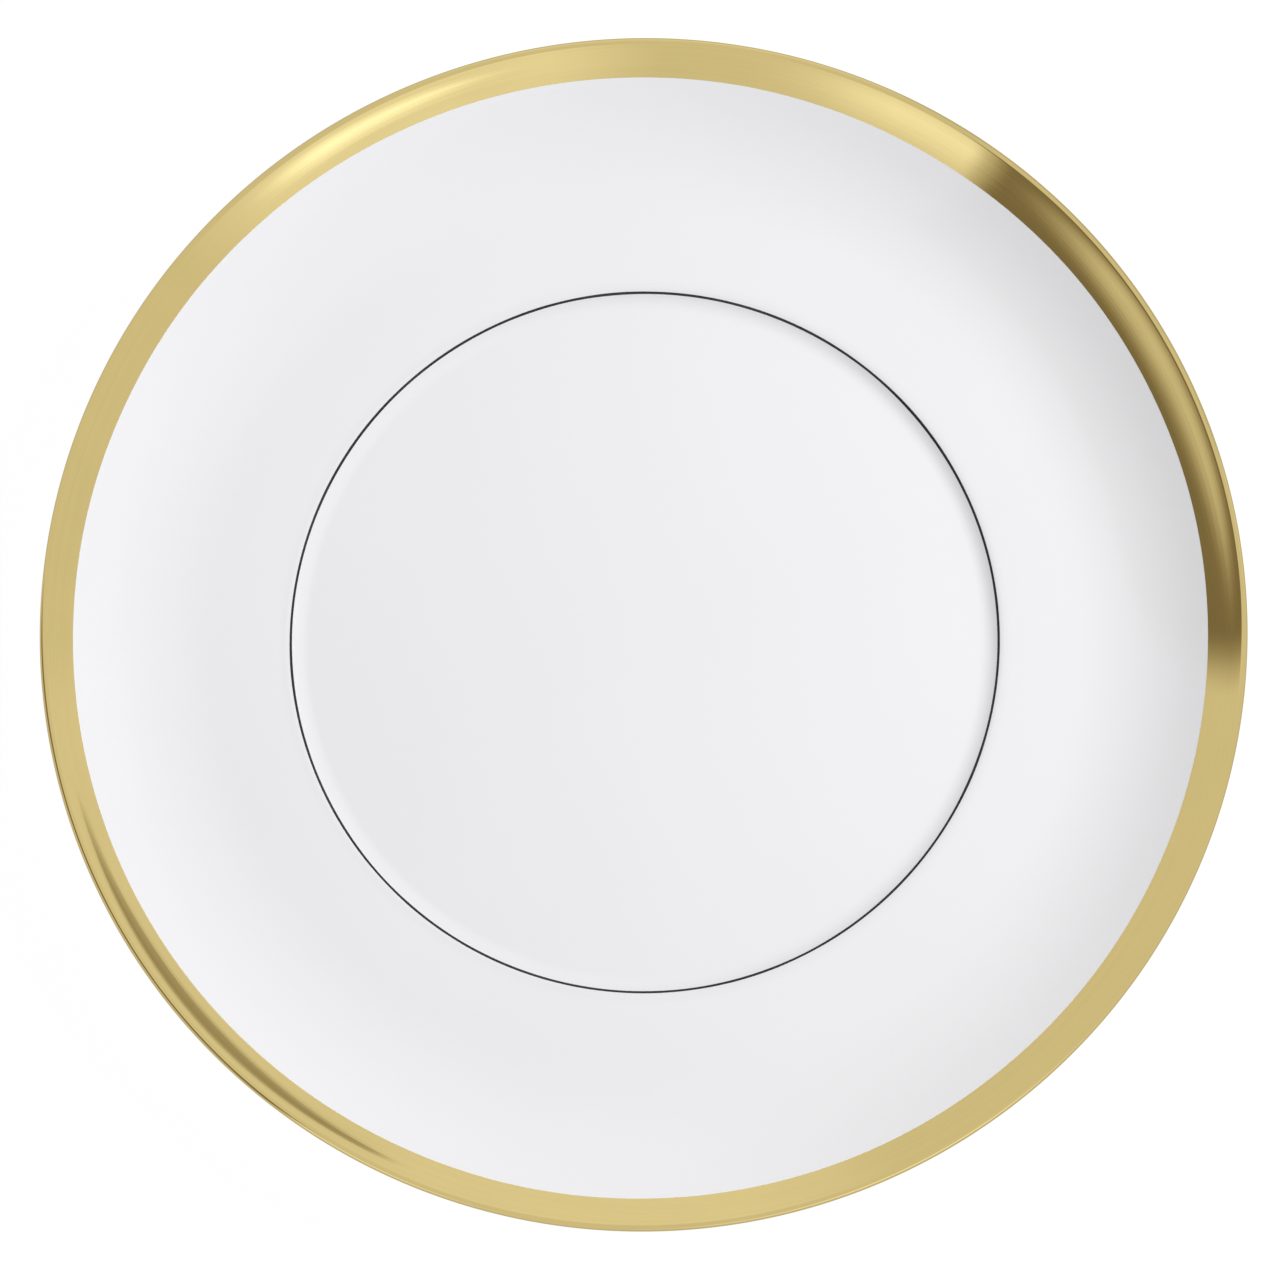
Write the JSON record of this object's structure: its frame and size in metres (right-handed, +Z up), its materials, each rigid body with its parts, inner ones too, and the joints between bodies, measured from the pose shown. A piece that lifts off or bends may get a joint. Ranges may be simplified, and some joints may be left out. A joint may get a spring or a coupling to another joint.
{
  "type": "dinner plate",
  "caption": "Round coupe dinner plate of white glazed china, with a shallow recessed well, a fine dark line round the well, a gilded rim and a foot ring.",
  "frame": {"origin": "centre of the foot ring's tread, in the plane the plate stands on", "axes": "+Z up through the middle of the plate, out of its face; the plate is round, so +X and +Y have no mark on it"},
  "size_m": [0.27, 0.27, 0.024],
  "materials": {
    "porcelain": "matt, unglazed bisque",
    "white_glaze": "glossy clear glaze over white china",
    "gilding": "bright fired gilding",
    "black_enamel": "glossy fired enamel"
  },
  "bodies": {
    "root": {"porcelain_body": "porcelain", "outer_glaze": "white_glaze", "foot_well_glaze": "white_glaze", "gold_rim_band": "gilding", "well_line": "black_enamel"}
  },
  "joints": []
}
